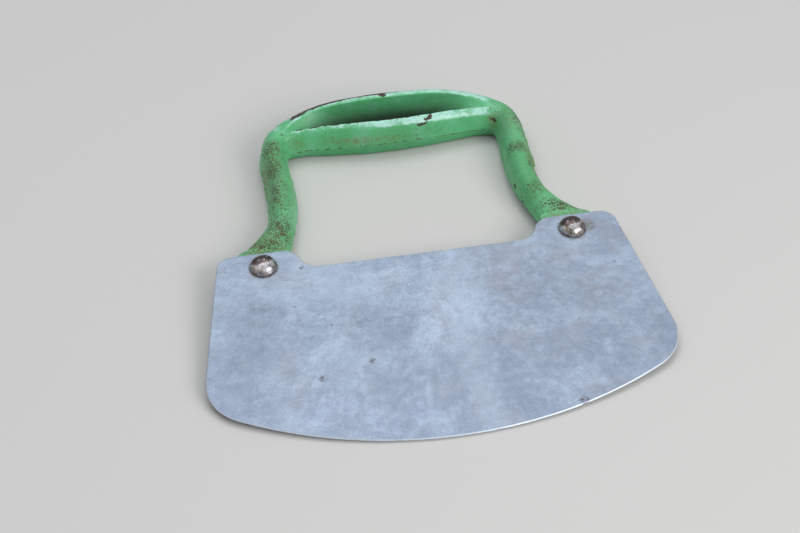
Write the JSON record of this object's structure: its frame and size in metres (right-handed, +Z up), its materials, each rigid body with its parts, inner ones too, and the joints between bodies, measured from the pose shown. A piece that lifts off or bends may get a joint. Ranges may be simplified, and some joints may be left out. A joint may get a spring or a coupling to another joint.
{
  "type": "single-blade hand chopper",
  "caption": "Rocking dough and food chopper: flat curved-edge steel blade riveted by two ears to a painted cast D-shaped handle.",
  "frame": {"origin": "bottom centre of the bounding box, on the surface the tool lies on", "axes": "+X along the blade's length, +Y from the cutting edge towards the grip, +Z up, out of the blade's front face"},
  "size_m": [0.165, 0.186, 0.0176],
  "materials": {
    "blade_steel": "satin, mottled and lightly scratched",
    "green_paint": "worn gloss enamel with rust specks",
    "rivet_steel": "polished and tarnished"
  },
  "bodies": {
    "root": {"blade": "blade_steel", "handle": "green_paint", "left_rivet": "rivet_steel", "right_rivet": "rivet_steel"}
  },
  "joints": []
}
